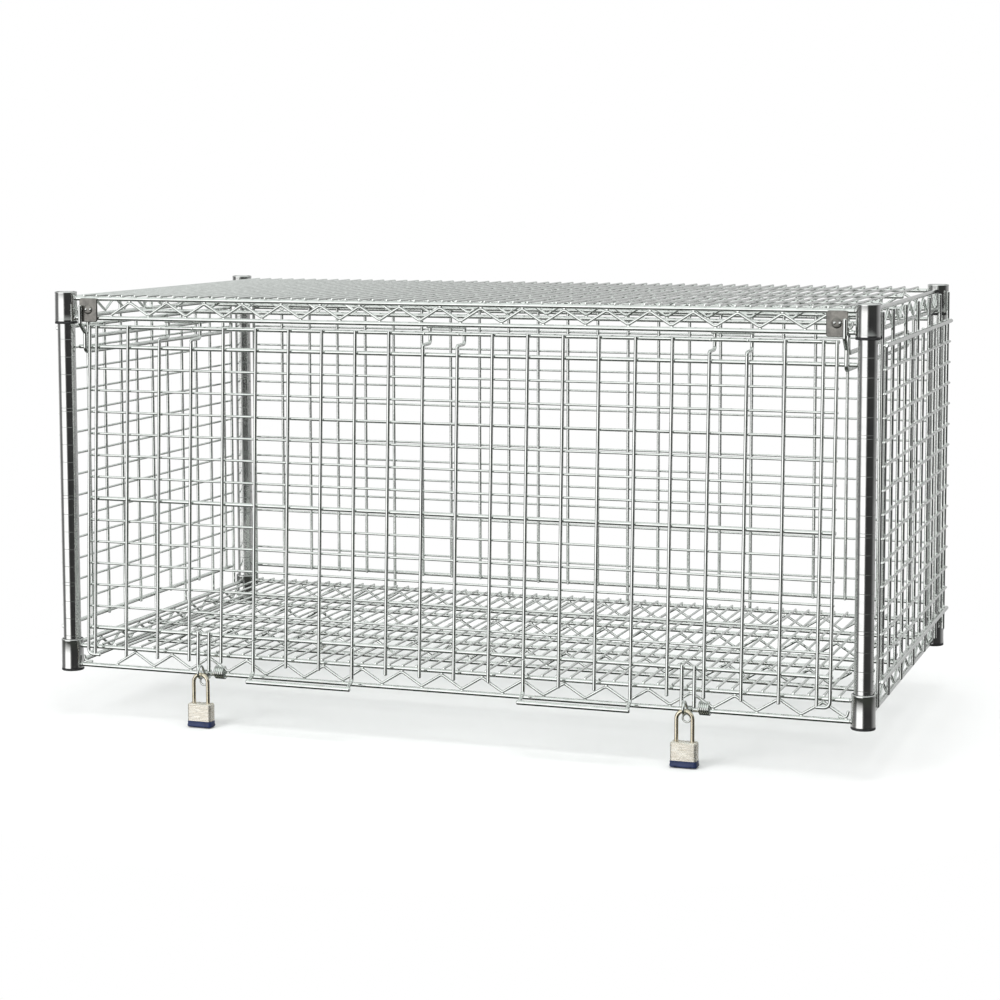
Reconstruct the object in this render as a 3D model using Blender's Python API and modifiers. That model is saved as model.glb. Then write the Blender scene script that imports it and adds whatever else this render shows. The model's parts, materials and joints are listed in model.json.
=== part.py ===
"""Lockable wire security cage: two wire shelves on four posts, closed by mesh panels.

The front mesh door hangs on a pivot rod whose ends run in wire tracks. It swings up and
slides back under the top shelf, and two padlocks hold it to the bottom shelf.
Metres, +Z up, the front faces -Y. The origin is the centre of the footprint, level with
the bottoms of the posts.
"""

import math

import bmesh
import bpy
from mathutils import Vector

MM = 0.001
GAP = 0.3 * MM

# Posts, their caps and the corner joints
POST_X, POST_Y = 579 * MM, 291 * MM
POST_RADIUS, POST_WALL, POST_TOP = 12.7 * MM, 1.2 * MM, 548 * MM
CAP_PLUG_DEPTH, CAP_RISE = 8 * MM, 3 * MM
SHELF_BASES = {"bottom": 0.0, "top": 505 * MM}
SLEEVE_INNER, SLEEVE_OUTER, FLANGE_RADIUS, FLANGE_HEIGHT = 13.0 * MM, 13.9 * MM, 16.2 * MM, 3 * MM
COLLAR_INNER, COLLAR_TOP_RADIUS, COLLAR_FOOT_RADIUS = 14.2 * MM, 15.6 * MM, 16.2 * MM
COLLAR_TOP = 46 * MM
ROUND_STEPS = 20

# Shelf rails, heights above the shelf's base
LOW_RAIL, HIGH_RAIL, RAIL_RADIUS = 8.6 * MM, 36.3 * MM, 3.2 * MM
ZIGZAG_WIDTH = 4 * MM
FRONT_ZIGZAG_PERIOD, MIDDLE_ZIGZAG_PERIOD = 112 * MM, 224 * MM
DECK_THICKNESS, DECK_BAR, DECK_COLUMNS = 3 * MM, 8 * MM, 14
MIDDLE_TRUSS_Y = 97 * MM

# Mesh panels
WIRE, RAIL = 4 * MM, 6 * MM
SHEET = 5 * MM
PITCH_X, PITCH_Z = 50.2 * MM, 31.2 * MM
ROWS = (0, 3, 6, 9, 12, 14)
PANEL_FOOT, PANEL_TOP = 27 * MM, 548 * MM
SIDE_PANEL_X, BACK_PANEL_Y = 598.5 * MM, 310.5 * MM
SIDE_PANEL_HALF, BACK_PANEL_HALF = 279.4 * MM, 566 * MM
PANEL_LOW_ROW, BACK_MIDDLE_X = 60.5 * MM, -12.1 * MM

# Door, measured from its pivot rod; it hangs a little out of plumb, with its foot forward
PIVOT_Y, PIVOT_Z, DOOR_TILT = -280.3 * MM, 471.6 * MM, math.radians(2.64)
PIVOT_ROD_RADIUS, PIVOT_ROD_HALF = 3 * MM, 565 * MM
PIVOT_ROW, DOOR_TOP_ROW = 13, 29 * MM
DOOR_Y = -(SHEET / 2 + GAP + PIVOT_ROD_RADIUS)
DOOR_MIDDLE_X, DOOR_HALF, DOOR_CORNER = -3 * MM, 541.3 * MM, 12 * MM
DOOR_WIRE_MIDDLE_X, DOOR_WIRES = -6.3 * MM, range(-21, 22, 2)
TOOTH_DROP, DOOR_TRAVEL = 444.6 * MM, 450 * MM
FINGER_PAIRS = {"left": (-17, -15), "middle": (-1, 1), "right": (15, 17)}
FINGER_REACH, FINGER_RISE, BEND = 22 * MM, 45 * MM, 4 * MM
HANDLES = {"left": (-11, -5), "right": (5, 11)}
HANDLE_WIRE, HANDLE_REACH, HANDLE_DROP = 2.9 * MM, 15 * MM, 465 * MM
HASPS = {"left": -360 * MM, "right": 349 * MM}
HASP_HALF_GAP, HASP_DROP = 8.5 * MM, 457.8 * MM

# Tracks that carry the pivot rod, and the brackets they hang from
TRACK_X, TRACK_WIRE, TRACK_PLAY = 551 * MM, 3 * MM, 0.6 * MM
TRACK_HIGH_Z, STEM_TOP, REAR_STEM_TOP = 486 * MM, 532 * MM, 526 * MM
BRACKET_X, BRACKET_Z = 540 * MM, 525 * MM
BRACKET_WIDTH, BRACKET_THICKNESS, BRACKET_HEIGHT = 28 * MM, 3 * MM, 34 * MM
RIVET_RADIUS, RIVET_HEIGHT = 7 * MM, 2 * MM

# Hasp saddles and rings, and the padlocks that hang a little left of their middles
SADDLE_WALL, SADDLE_WIDTH, RING_RADIUS, RING_WIRE = 3.5 * MM, 12 * MM, 8.5 * MM, 1.7 * MM
LOCK_SHIFT, LOCK_Y = -4 * MM, -308 * MM
SHACKLE_WIRE, SHACKLE_HALF, SHACKLE_TOP = 2.75 * MM, 11 * MM, 10 * MM
LOCK_WIDTH, LOCK_DEPTH, LOCK_TOP, LOCK_FOOT = 36.2 * MM, 17 * MM, -31.5 * MM, -56 * MM
LOCK_EDGE, BUMPER_EDGE, BUMPER_FOOT, BUMPER_OVERHANG = 3.5 * MM, 4 * MM, -64.8 * MM, 0.9 * MM
LONG_LEG, SHORT_LEG, HOLE_DEPTH, HOLE_PLAY = 18 * MM, 6 * MM, 22 * MM, 0.35 * MM
CYLINDER_RADIUS, KEYWAY = 4.6 * MM, (5.6 * MM, 1.4 * MM, 6 * MM)

STANDING = (math.pi / 2, 0, 0)
STANDING_SIDEWAYS = (math.pi / 2, 0, math.pi / 2)


def clear_scene():
    for item in list(bpy.data.objects):
        bpy.data.objects.remove(item, do_unlink=True)


def new_collection(name):
    collection = bpy.data.collections.new(name)
    bpy.context.scene.collection.children.link(collection)
    return collection


clear_scene()
PARTS = new_collection("wire_security_cage")
CUTTERS = new_collection("cutters")


def material(name, colour, roughness, metallic):
    made = bpy.data.materials.new(name)
    made.use_nodes = True
    shader = made.node_tree.nodes["Principled BSDF"]
    shader.inputs["Base Color"].default_value = (*colour, 1)
    shader.inputs["Roughness"].default_value = roughness
    shader.inputs["Metallic"].default_value = metallic
    return made


FINISHES = {
    "chrome_wire": ((0.78, 0.80, 0.80), 0.16, 1.0),
    "chrome_post": ((0.55, 0.56, 0.56), 0.12, 1.0),
    "black_plastic": ((0.03, 0.03, 0.03), 0.5, 0.0),
    "lock_steel": ((0.66, 0.64, 0.60), 0.35, 1.0),
    "shackle_steel": ((0.80, 0.74, 0.60), 0.18, 1.0),
    "blue_plastic": ((0.02, 0.04, 0.16), 0.45, 0.0),
    "brass": ((0.70, 0.52, 0.22), 0.3, 1.0),
}


def finish(item, name):
    """Give an object its own copy of a finish."""
    item.data.materials.clear()
    item.data.materials.append(material(f"{item.name}_{name}", *FINISHES[name]))


def add_object(name, data, collection=PARTS):
    item = bpy.data.objects.new(name, data)
    collection.objects.link(item)
    return item


def smooth_round(mesh):
    mesh.shade_smooth()
    mesh.set_sharp_from_angle(angle=math.radians(35))


def turned(name, profile, closed, place, finish_name):
    """A turned piece: profile points (radius, height) run down the outer side."""
    mesh = bpy.data.meshes.new(name)
    points = [(radius, 0, height) for radius, height in profile]
    edges = [(i, i + 1) for i in range(len(points) - 1)]
    if closed:
        edges.append((len(points) - 1, 0))
    mesh.from_pydata(points, edges, [])
    item = add_object(name, mesh)
    item.location = place
    screw = item.modifiers.new("Turn", "SCREW")
    screw.steps = screw.render_steps = ROUND_STEPS
    screw.use_merge_vertices = True
    screw.merge_threshold = 0.00001
    screw.use_smooth_shade = True
    finish(item, finish_name)
    return item


def curve_data(name, splines, dimensions, cyclic):
    data = bpy.data.curves.new(name, "CURVE")
    data.dimensions = dimensions
    for points in splines:
        spline = data.splines.new("POLY")
        spline.points.add(len(points) - 1)
        for point, place in zip(spline.points, points):
            point.co = (*place, 1) if len(place) == 3 else (*place, 0, 1)
        spline.use_cyclic_u = cyclic
    return data


def plate(name, outline, holes, thickness, place, turn, finish_name):
    """A flat plate with holes, drawn in its own XY plane."""
    data = curve_data(name, [outline, *holes], "2D", True)
    data.fill_mode = "BOTH"
    data.extrude = thickness / 2
    item = add_object(name, data)
    item.location = place
    item.rotation_euler = turn
    finish(item, finish_name)
    return item


def wire(name, points, radius, sides, finish_name, place=(0, 0, 0)):
    """A bent round wire with closed ends."""
    data = curve_data(name, [points], "3D", False)
    data.bevel_depth = radius
    data.bevel_resolution = (sides - 4) // 2
    data.use_fill_caps = True
    item = add_object(name, data)
    item.location = place
    finish(item, finish_name)
    return item


def as_mesh(item):
    """The object's evaluated shape as a welded mesh object in the same place."""
    bpy.context.view_layer.update()
    evaluated = item.evaluated_get(bpy.context.evaluated_depsgraph_get())
    mesh = bpy.data.meshes.new_from_object(evaluated)
    name = item.name
    place = item.matrix_world.copy()
    bpy.data.objects.remove(item, do_unlink=True)
    shape = bmesh.new()
    shape.from_mesh(mesh)
    bmesh.ops.remove_doubles(shape, verts=shape.verts, dist=0.000005)
    bmesh.ops.recalc_face_normals(shape, faces=shape.faces)
    shape.to_mesh(mesh)
    shape.free()
    made = add_object(name, mesh)
    made.matrix_world = place
    return made


def box_shape(name, size, collection=PARTS, edge_bevel=0.0):
    """A box about its own centre; edge_bevel rounds its four upright edges."""
    mesh = bpy.data.meshes.new(name)
    shape = bmesh.new()
    bmesh.ops.create_cube(shape, size=1)
    bmesh.ops.scale(shape, vec=Vector(size), verts=shape.verts)
    if edge_bevel:
        upright = [e for e in shape.edges if abs(e.verts[0].co.z - e.verts[1].co.z) > size[2] / 2]
        bmesh.ops.bevel(shape, geom=upright, offset=edge_bevel, segments=3, profile=0.5, affect="EDGES")
    shape.to_mesh(mesh)
    shape.free()
    return add_object(name, mesh, collection)


def rod_shape(name, radius, length, sides, collection=PARTS):
    """A round bar along Z about its own centre."""
    mesh = bpy.data.meshes.new(name)
    shape = bmesh.new()
    bmesh.ops.create_cone(
        shape, cap_ends=True, segments=sides, radius1=radius, radius2=radius, depth=length
    )
    shape.to_mesh(mesh)
    shape.free()
    smooth_round(mesh)
    return add_object(name, mesh, collection)


def combine(item, other, operation):
    """Cut or join another object, which becomes a hidden guide."""
    if other.name not in CUTTERS.objects:
        PARTS.objects.unlink(other)
        CUTTERS.objects.link(other)
    other.hide_render = True
    other.display_type = "WIRE"
    step = item.modifiers.new(other.name, "BOOLEAN")
    step.operation = operation
    step.solver = "EXACT"
    step.object = other


def arc(centre, radius, start, end, steps):
    """Points on a circle between two angles in degrees."""
    angles = [math.radians(start + (end - start) * i / steps) for i in range(steps + 1)]
    return [(centre[0] + radius * math.cos(a), centre[1] + radius * math.sin(a)) for a in angles]


def rectangle(left, right, low, high):
    return [(left, low), (right, low), (right, high), (left, high)]


def between(lines, half_widths):
    """The clear spans between neighbouring bars."""
    return [
        (lines[i] + half_widths[i], lines[i + 1] - half_widths[i + 1])
        for i in range(len(lines) - 1)
    ]


# ---------------------------------------------------------------- posts and corner joints


def corners():
    for depth_name, y in (("front", -POST_Y), ("rear", POST_Y)):
        for side_name, x in (("left", -POST_X), ("right", POST_X)):
            yield f"{depth_name}_{side_name}", x, y


def make_post(corner, x, y):
    inner = POST_RADIUS - POST_WALL
    floor = 3 * MM
    profile = [
        (0, floor), (inner, floor), (inner, POST_TOP),
        (POST_RADIUS, POST_TOP), (POST_RADIUS, 0), (0, 0),
    ]
    turned(f"post_{corner}", profile, False, (x, y, 0), "chrome_post")


def make_cap(corner, x, y):
    seat = POST_TOP + GAP
    plug = POST_RADIUS - POST_WALL - 0.5 * MM
    profile = [
        (0, seat + CAP_RISE), (8 * MM, seat + CAP_RISE * 0.93), (11.8 * MM, seat + CAP_RISE * 0.6),
        (POST_RADIUS, seat), (plug, seat), (plug, seat - CAP_PLUG_DEPTH), (0, seat - CAP_PLUG_DEPTH),
    ]
    turned(f"post_cap_{corner}", profile, False, (x, y, 0), "chrome_post")


def make_corner_joint(shelf, base, corner, x, y):
    """The tapered sleeve clamped on the post, and the shelf collar that drops over it."""
    sleeve_top = COLLAR_TOP - GAP
    sleeve = [
        (SLEEVE_OUTER, sleeve_top), (SLEEVE_OUTER, FLANGE_HEIGHT), (FLANGE_RADIUS, FLANGE_HEIGHT),
        (FLANGE_RADIUS, 0), (SLEEVE_INNER, 0), (SLEEVE_INNER, sleeve_top),
    ]
    turned(f"{shelf}_sleeve_{corner}", sleeve, True, (x, y, base), "black_plastic")
    foot = FLANGE_HEIGHT + GAP
    collar = [
        (COLLAR_TOP_RADIUS, COLLAR_TOP), (COLLAR_FOOT_RADIUS, foot),
        (COLLAR_INNER, foot), (COLLAR_INNER, COLLAR_TOP),
    ]
    turned(f"{shelf}_collar_{corner}", collar, True, (x, y, base), "chrome_post")


# ---------------------------------------------------------------- shelves


def truss_holes(half_length, period):
    """Triangular openings left by a zigzag wire between the two rails."""
    low, high = LOW_RAIL + RAIL_RADIUS, HIGH_RAIL - RAIL_RADIUS
    count = max(2, round(2 * half_length / period))
    period = 2 * (half_length - RAIL_RADIUS) / count
    slope = (high - low) / (period / 2)
    bar = ZIGZAG_WIDTH * math.hypot(1, slope) / slope / 2
    holes = []
    start = -half_length + RAIL_RADIUS
    for i in range(count):
        left = start + i * period
        middle, right = left + period / 2, left + period
        holes.append([(left + 2 * bar, low), (right - 2 * bar, low), (middle, high - 2 * bar * slope)])
        if i + 1 < count:
            holes.append([(middle + 2 * bar, high), (right, low + 2 * bar * slope),
                          (right + period / 2 - 2 * bar, high)])
    return holes


def truss_plate(name, half_length, period, base, place, turn, top=None):
    outline = rectangle(-half_length, half_length, LOW_RAIL - RAIL_RADIUS, top or HIGH_RAIL + RAIL_RADIUS)
    return plate(name, outline, truss_holes(half_length, period), 2 * RAIL_RADIUS,
                 (place[0], place[1], base), turn, "chrome_wire")


def make_shelf(shelf, base):
    clear = COLLAR_FOOT_RADIUS + 0.4 * MM
    for name, y in (("front", -POST_Y), ("rear", POST_Y)):
        truss_plate(f"{shelf}_truss_{name}", POST_X - clear, FRONT_ZIGZAG_PERIOD, base, (0, y), STANDING)
    for name, x in (("left", -POST_X), ("right", POST_X)):
        truss_plate(f"{shelf}_truss_{name}", POST_Y - clear, FRONT_ZIGZAG_PERIOD, base, (x, 0),
                    STANDING_SIDEWAYS)
    make_deck(shelf, base)


def make_deck(shelf, base):
    """The wire deck on the rails, with two lengthwise trusses under it."""
    half_x, half_y = POST_X + RAIL_RADIUS, POST_Y + RAIL_RADIUS
    notch = COLLAR_FOOT_RADIUS + 3.5 * MM
    in_x, in_y = POST_X - notch, POST_Y - notch
    outline = [
        (-in_x, -half_y), (in_x, -half_y), (in_x, -in_y), (half_x, -in_y),
        (half_x, in_y), (in_x, in_y), (in_x, half_y), (-in_x, half_y),
        (-in_x, in_y), (-half_x, in_y), (-half_x, -in_y), (-in_x, -in_y),
    ]
    bar = DECK_BAR / 2
    columns = [-in_x + bar + (2 * in_x - DECK_BAR) * i / DECK_COLUMNS for i in range(DECK_COLUMNS + 1)]
    rows = [-POST_Y, -MIDDLE_TRUSS_Y, MIDDLE_TRUSS_Y, POST_Y]
    holes = [
        rectangle(left, right, low, high)
        for left, right in between(columns, [bar] * len(columns))
        for low, high in between(rows, [RAIL_RADIUS + 1 * MM] * 4)
    ]
    deck_foot = HIGH_RAIL + RAIL_RADIUS + GAP
    deck = as_mesh(plate(f"{shelf}_deck", outline, holes, DECK_THICKNESS,
                         (0, 0, base + deck_foot + DECK_THICKNESS / 2), (0, 0, 0), "chrome_wire"))
    finish(deck, "chrome_wire")
    half = POST_X - RAIL_RADIUS - 0.5 * MM
    for name, y in (("front", -MIDDLE_TRUSS_Y), ("rear", MIDDLE_TRUSS_Y)):
        guide = truss_plate(f"{shelf}_middle_truss_{name}", half, MIDDLE_ZIGZAG_PERIOD, base, (0, y),
                            STANDING, deck_foot + DECK_THICKNESS / 2)
        combine(deck, as_mesh(guide), "UNION")


# ---------------------------------------------------------------- panels


def make_mesh_panel(name, half, columns, place, turn):
    """A welded mesh panel whose upright wires run past its lowest and highest rows."""
    uprights = [-half, *columns, half]
    rows = [PANEL_LOW_ROW + PITCH_Z * k for k in ROWS]
    holes = [
        rectangle(left, right, low, high)
        for left, right in between(uprights, [WIRE / 2] * len(uprights))
        for low, high in between(rows, [RAIL / 2] * len(rows))
    ]
    edge, foot, top = half + WIRE / 2, rows[0] - RAIL / 2, rows[-1] + RAIL / 2
    outline = [(-edge, PANEL_FOOT), (-half + WIRE / 2, PANEL_FOOT), (-half + WIRE / 2, foot)]
    for x in columns:
        outline += [(x - WIRE / 2, foot), (x - WIRE / 2, PANEL_FOOT),
                    (x + WIRE / 2, PANEL_FOOT), (x + WIRE / 2, foot)]
    outline += [(half - WIRE / 2, foot), (half - WIRE / 2, PANEL_FOOT), (edge, PANEL_FOOT),
                (edge, PANEL_TOP), (half - WIRE / 2, PANEL_TOP), (half - WIRE / 2, top)]
    for x in reversed(columns):
        outline += [(x + WIRE / 2, top), (x + WIRE / 2, PANEL_TOP),
                    (x - WIRE / 2, PANEL_TOP), (x - WIRE / 2, top)]
    outline += [(-half + WIRE / 2, top), (-half + WIRE / 2, PANEL_TOP), (-edge, PANEL_TOP)]
    plate(name, outline, holes, SHEET, place, turn, "chrome_wire")


def make_panels():
    side_columns = [2 * PITCH_X * i for i in range(-2, 3)]
    back_columns = [BACK_MIDDLE_X + 2 * PITCH_X * i for i in range(-5, 6)]
    for side, x in (("left", -SIDE_PANEL_X), ("right", SIDE_PANEL_X)):
        make_mesh_panel(f"side_panel_{side}", SIDE_PANEL_HALF, side_columns, (x, 0, 0), STANDING_SIDEWAYS)
    make_mesh_panel("back_panel", BACK_PANEL_HALF, back_columns, (0, BACK_PANEL_Y, 0), STANDING)


# ---------------------------------------------------------------- door


def wire_x(place):
    """Across position of a door wire; neighbouring wires are two places apart."""
    return DOOR_WIRE_MIDDLE_X + place * PITCH_X / 2


def door_teeth():
    """Upright wires that run on below the bottom rail: centre, foot height."""
    gripped = {place for pair in HANDLES.values() for place in pair}
    teeth = [(wire_x(place), -TOOTH_DROP) for place in DOOR_WIRES if place not in gripped]
    for x in HASPS.values():
        teeth += [(x + step * HASP_HALF_GAP, -HASP_DROP) for step in (-1, 1)]
    return sorted(teeth)


def make_door_panel():
    left_edge, right_edge = DOOR_MIDDLE_X - DOOR_HALF, DOOR_MIDDLE_X + DOOR_HALF
    uprights = [left_edge, *[wire_x(place) for place in DOOR_WIRES], right_edge]
    rows = [(k - PIVOT_ROW) * PITCH_Z for k in ROWS if k < PIVOT_ROW] + [DOOR_TOP_ROW]
    holes = [
        rectangle(left, right, low, high)
        for left, right in between(uprights, [WIRE / 2] * len(uprights))
        for low, high in between(rows, [RAIL / 2] * len(rows))
    ]
    left, right = left_edge - WIRE / 2, right_edge + WIRE / 2
    foot, top = rows[0] - RAIL / 2, rows[-1] + RAIL / 2
    outline = arc((left + DOOR_CORNER, foot + DOOR_CORNER), DOOR_CORNER, 180, 270, 4)
    for x, tooth_foot in door_teeth():
        outline += [(x - WIRE / 2, foot), (x - WIRE / 2, tooth_foot),
                    (x + WIRE / 2, tooth_foot), (x + WIRE / 2, foot)]
    outline += arc((right - DOOR_CORNER, foot + DOOR_CORNER), DOOR_CORNER, 270, 360, 4)
    outline += [(right, top), (left, top)]
    return plate("door_mesh", outline, holes, SHEET, (0, DOOR_Y, 0), STANDING, "chrome_wire")


def make_finger(name, left, right):
    """A bent wire above the pivot rod that reaches up behind the top shelf's front truss."""
    z = PIVOT_ROD_RADIUS + GAP + WIRE
    side = [(0, z), (0, z + BEND), (BEND, z + 2 * BEND),
            (FINGER_REACH - BEND, z + 3 * BEND), (FINGER_REACH, z + 4 * BEND)]
    tip = FINGER_RISE - BEND
    path = [(left, *point) for point in side]
    path += [(left, FINGER_REACH, tip), (left + BEND, FINGER_REACH, FINGER_RISE)]
    path += [(right - BEND, FINGER_REACH, FINGER_RISE), (right, FINGER_REACH, tip)]
    path += [(right, *point) for point in reversed(side)]
    return wire(name, path, WIRE / 2, 8, "chrome_wire")


def make_handle(name, left, right):
    """A lift handle: two uprights bent forward and joined by a bar below the door."""
    top = -PIVOT_ROW * PITCH_Z - RAIL / 2 - GAP
    front, foot = DOOR_Y - HANDLE_REACH, -HANDLE_DROP
    side = [(DOOR_Y, top), (DOOR_Y, foot + 4 * BEND), (DOOR_Y - BEND, foot + 2 * BEND),
            (front + 2 * BEND, foot + BEND / 2)]
    path = [(left, *point) for point in side]
    path += [(left + BEND, front + BEND / 2, foot), (left + 3 * BEND, front, foot)]
    path += [(right - 3 * BEND, front, foot), (right - BEND, front + BEND / 2, foot)]
    path += [(right, *point) for point in reversed(side)]
    return wire(name, path, HANDLE_WIRE, 8, "chrome_wire")


def make_door():
    """The door's pieces hang from an empty on the pivot axis."""
    pivot = add_object("door_pivot", None)
    pivot.location = (0, PIVOT_Y, PIVOT_Z)
    pivot.rotation_euler = (-DOOR_TILT, 0, 0)
    pieces = [make_door_panel()]
    for name, (left, right) in FINGER_PAIRS.items():
        pieces.append(make_finger(f"door_finger_{name}", wire_x(left), wire_x(right)))
    for name, (left, right) in HANDLES.items():
        pieces.append(make_handle(f"door_handle_{name}", wire_x(left), wire_x(right)))
    for piece in pieces:
        piece.parent = pivot
    wire("door_pivot_rod", [(-PIVOT_ROD_HALF, 0, 0), (PIVOT_ROD_HALF, 0, 0)],
         PIVOT_ROD_RADIUS, 12, "chrome_wire", (0, PIVOT_Y, PIVOT_Z))


def make_tracks():
    """Wire tracks: a hook at the front, a lower run, a rear bend and an upper run."""
    reach = PIVOT_ROD_RADIUS + TRACK_PLAY + TRACK_WIRE
    low = PIVOT_Z - reach
    bend = (TRACK_HIGH_Z - low) / 2
    bracket_front = -POST_Y - RAIL_RADIUS - GAP - BRACKET_THICKNESS
    stem = bracket_front - GAP - TRACK_WIRE
    rear_stem = -POST_Y + 14 * MM
    rear = PIVOT_Y + DOOR_TRAVEL + 3 * PIVOT_ROD_RADIUS
    route = [(stem, STEM_TOP), (stem, SHELF_BASES["top"])]
    route += [(PIVOT_Y - reach, TRACK_HIGH_Z + 2 * bend / 3)]
    route += arc((PIVOT_Y, PIVOT_Z), reach, 180, 270, 4)
    route += arc((rear, low + bend), bend, -90, 90, 6)
    route += [(rear_stem + 2 * TRACK_WIRE, TRACK_HIGH_Z), (rear_stem, TRACK_HIGH_Z + 2 * TRACK_WIRE),
              (rear_stem, REAR_STEM_TOP)]
    for side, sign in (("left", -1), ("right", 1)):
        wire(f"track_{side}", [(sign * TRACK_X, *point) for point in route], TRACK_WIRE, 8, "chrome_wire")
        make_bracket(side, sign * BRACKET_X, bracket_front + BRACKET_THICKNESS / 2)


def make_bracket(side, x, y):
    """The plate on the front truss that the track hangs from, with its round rivet head."""
    name = f"track_bracket_{side}"
    bracket = box_shape(name, (BRACKET_WIDTH, BRACKET_THICKNESS, BRACKET_HEIGHT))
    bracket.location = (x, y, BRACKET_Z)
    finish(bracket, "chrome_post")
    head = rod_shape(f"{name}_head", RIVET_RADIUS, RIVET_HEIGHT, 16, CUTTERS)
    head.location = (x, y - BRACKET_THICKNESS / 2, BRACKET_Z)
    head.rotation_euler = STANDING
    combine(bracket, head, "UNION")


# ---------------------------------------------------------------- hasps and padlocks


def make_hasp(side, x):
    """A saddle on the bottom shelf's front rail with the ring that takes the shackle."""
    inner = RAIL_RADIUS + GAP
    foot, back = LOW_RAIL - inner - SADDLE_WALL, -POST_Y + inner + SADDLE_WALL
    front, front_top, back_top = -POST_Y - inner - SADDLE_WALL, 2 * LOW_RAIL, LOW_RAIL + inner / 2
    outline = [
        (front, foot), (back, foot), (back, back_top), (back - SADDLE_WALL, back_top),
        (back - SADDLE_WALL, foot + SADDLE_WALL), (front + SADDLE_WALL, foot + SADDLE_WALL),
        (front + SADDLE_WALL, front_top), (front, front_top),
    ]
    saddle = as_mesh(plate(f"hasp_ring_{side}", outline, [], SADDLE_WIDTH, (x, 0, 0), STANDING_SIDEWAYS,
                           "chrome_wire"))
    finish(saddle, "chrome_wire")
    ring_z = SHACKLE_TOP - SHACKLE_WIRE - GAP - RING_WIRE + RING_RADIUS
    bpy.ops.mesh.primitive_torus_add(
        major_radius=RING_RADIUS, minor_radius=RING_WIRE, major_segments=20, minor_segments=8,
        location=(x, LOCK_Y, ring_z), rotation=(0, math.pi / 2, 0),
    )
    ring = bpy.context.object
    ring.name = f"hasp_ring_{side}_loop"
    for collection in list(ring.users_collection):
        collection.objects.unlink(ring)
    CUTTERS.objects.link(ring)
    combine(saddle, ring, "UNION")


def make_padlock(side, x):
    """Shackle, laminated body, plastic bumper and key cylinder, hung from an empty."""
    hanger = add_object(f"padlock_{side}_hanger", None)
    hanger.location = (x, LOCK_Y, SHACKLE_TOP)

    bow = arc((0, -SHACKLE_HALF), SHACKLE_HALF, 180, 0, 12)
    leg_foot = LOCK_TOP - SHACKLE_TOP
    path = [(-SHACKLE_HALF, leg_foot - LONG_LEG), *bow, (SHACKLE_HALF, leg_foot - SHORT_LEG)]
    shackle = wire(f"padlock_{side}_shackle", [(px, 0, pz) for px, pz in path], SHACKLE_WIRE, 12,
                   "shackle_steel")

    height = LOCK_TOP - LOCK_FOOT
    body = box_shape(f"padlock_{side}_body", (LOCK_WIDTH, LOCK_DEPTH, height), edge_bevel=LOCK_EDGE)
    body.location = (0, 0, leg_foot - height / 2)
    finish(body, "lock_steel")
    for end, step in (("long", -1), ("short", 1)):
        hole = rod_shape(f"padlock_{side}_{end}_hole", SHACKLE_WIRE + HOLE_PLAY, 2 * HOLE_DEPTH, 16, CUTTERS)
        hole.location = (step * SHACKLE_HALF, 0, leg_foot)
        hole.parent = hanger
        combine(body, hole, "DIFFERENCE")

    top, foot = LOCK_FOOT - GAP - SHACKLE_TOP, BUMPER_FOOT - SHACKLE_TOP
    size = (LOCK_WIDTH + 2 * BUMPER_OVERHANG, LOCK_DEPTH + 2 * BUMPER_OVERHANG, top - foot)
    bumper = box_shape(f"padlock_{side}_bumper", size, edge_bevel=BUMPER_EDGE)
    bumper.location = (0, 0, (top + foot) / 2)
    finish(bumper, "blue_plastic")
    bore = rod_shape(f"padlock_{side}_bore", CYLINDER_RADIUS + GAP, 2 * (top - foot), 20, CUTTERS)
    bore.location = bumper.location
    bore.parent = hanger
    combine(bumper, bore, "DIFFERENCE")

    length = top - foot - 2 * GAP
    cylinder = rod_shape(f"padlock_{side}_key_cylinder", CYLINDER_RADIUS, length, 20)
    cylinder.location = (0, 0, foot + GAP + length / 2)
    finish(cylinder, "brass")
    keyway = box_shape(f"padlock_{side}_keyway", KEYWAY, CUTTERS)
    keyway.location = (0, 0, foot + GAP)
    keyway.parent = hanger
    combine(cylinder, keyway, "DIFFERENCE")
    for piece in (shackle, body, bumper, cylinder):
        piece.parent = hanger


def build():
    for corner, x, y in corners():
        make_post(corner, x, y)
        make_cap(corner, x, y)
    for shelf, base in SHELF_BASES.items():
        for corner, x, y in corners():
            make_corner_joint(shelf, base, corner, x, y)
        make_shelf(shelf, base)
    make_panels()
    make_door()
    make_tracks()
    for side, x in HASPS.items():
        make_hasp(side, x + LOCK_SHIFT)
        make_padlock(side, x + LOCK_SHIFT)


build()
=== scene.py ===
"""Looks of the wire mesh container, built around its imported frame.

Every wire, weld, groove, plate and rivet is real geometry. Lengths are in metres, in the
frame's own coordinates: +X right, +Y to the back, +Z up.
"""

import json
import math

import bmesh
import bpy
from mathutils import Matrix, Vector


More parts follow.
